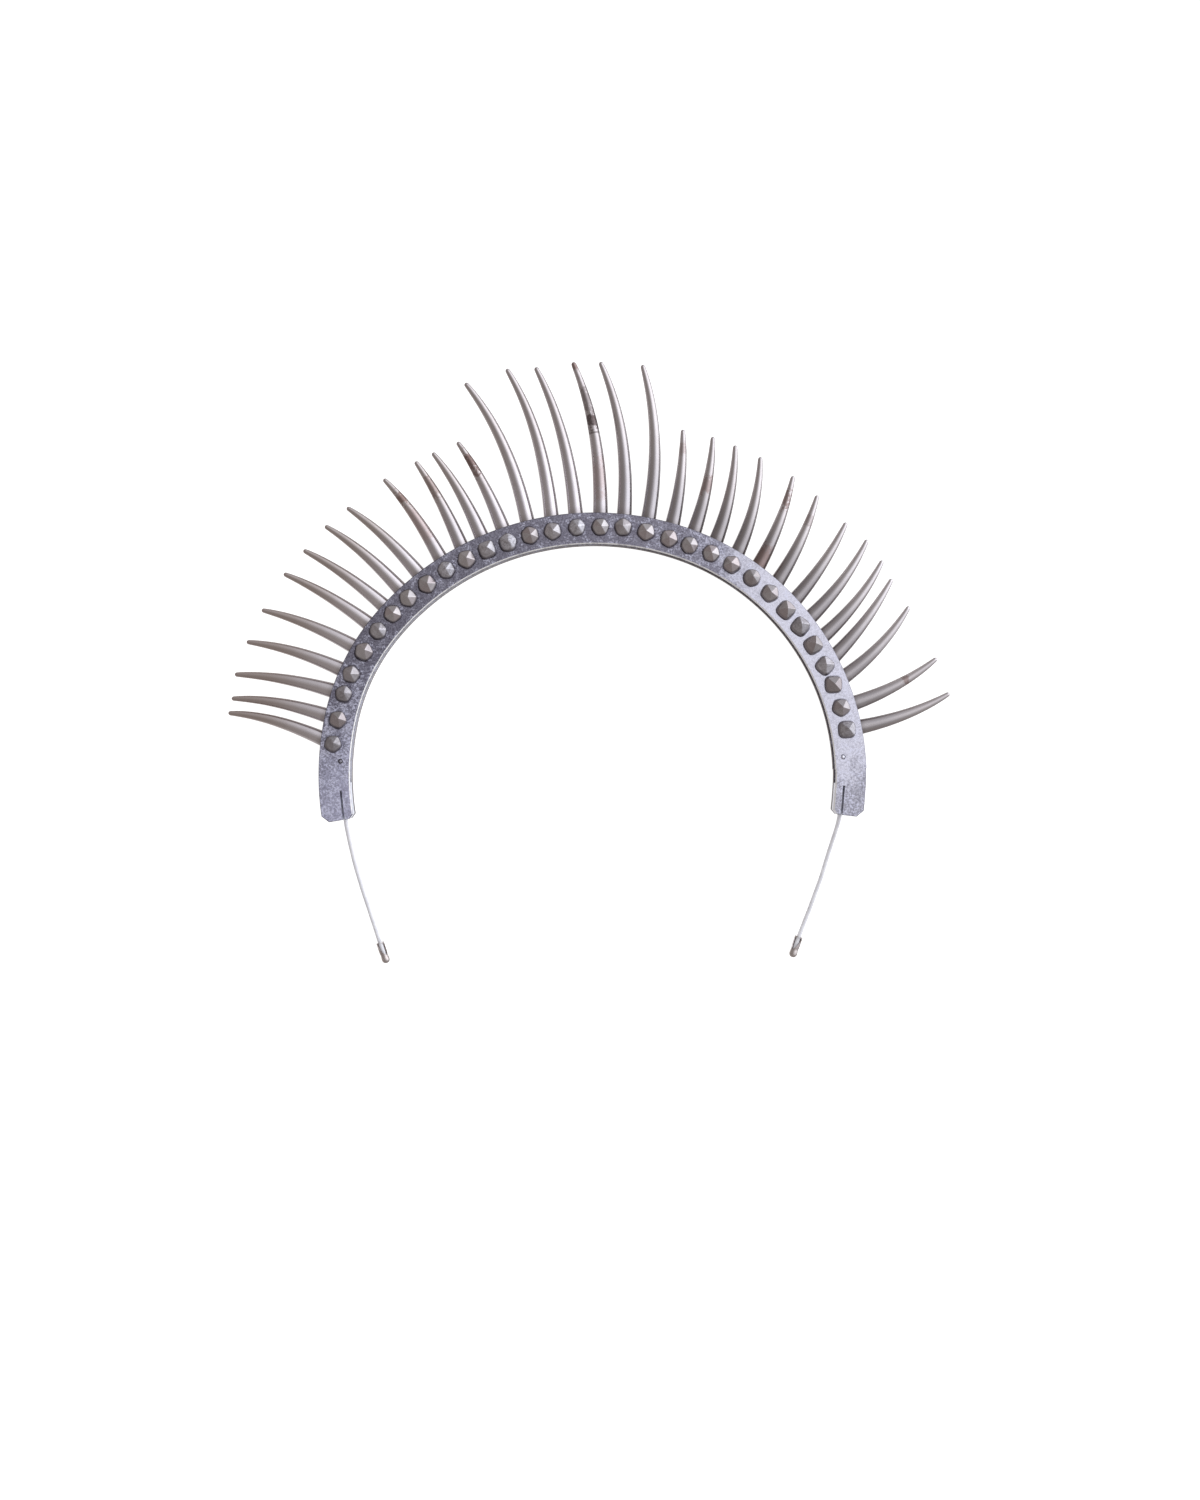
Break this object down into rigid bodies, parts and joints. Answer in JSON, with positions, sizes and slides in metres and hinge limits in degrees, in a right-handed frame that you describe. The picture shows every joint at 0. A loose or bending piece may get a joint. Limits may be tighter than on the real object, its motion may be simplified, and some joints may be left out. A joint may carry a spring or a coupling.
{
  "type": "diadem",
  "caption": "Spiked diadem: a riveted double metal strip in an arch, curved horn-like spikes held between by faceted studs, and a thin cord with a crimped end at each tab.",
  "frame": {"origin": "centre of the arch, on the plane that the back strip lies on", "axes": "+Y towards the crown of the arch, +X towards the right tab as it lies face up, +Z out of the face with the studs"},
  "size_m": [0.2178, 0.1816, 0.0097],
  "materials": {
    "sheet": "worn, mottled sheet metal with fine scratches",
    "cast": "satin cast white metal, warm grey with brown stains and pits",
    "stud": "hand-cut satin facets with dark edges",
    "pin": "dull, filed flush",
    "cord": "white elastic cord",
    "crimp": "bent plated sheet, brownish at the edges"
  },
  "bodies": {
    "root": {"front_plate": "sheet", "back_plate": "sheet", "end_block_left": "sheet", "end_block_right": "sheet", "spike_01": "cast", "spike_02": "cast", "spike_03": "cast", "spike_04": "cast", "spike_05": "cast", "spike_06": "cast", "spike_07": "cast", "spike_08": "cast", "spike_09": "cast", "spike_10": "cast", "spike_11": "cast", "spike_12": "cast", "spike_13": "cast", "spike_14": "cast", "spike_15": "cast", "spike_16": "cast", "spike_17": "cast", "spike_18": "cast", "spike_19": "cast", "spike_20": "cast", "spike_21": "cast", "spike_22": "cast", "spike_23": "cast", "spike_24": "cast", "spike_25": "cast", "spike_26": "cast", "spike_27": "cast", "spike_28": "cast", "spike_29": "cast", "spike_30": "cast", "spike_31": "cast", "spike_32": "cast", "studs_left": "stud", "studs_right": "stud", "pin_left": "pin", "pin_right": "pin", "cord_left": "cord", "cord_right": "cord", "crimp_left": "crimp", "crimp_right": "crimp"}
  },
  "joints": []
}
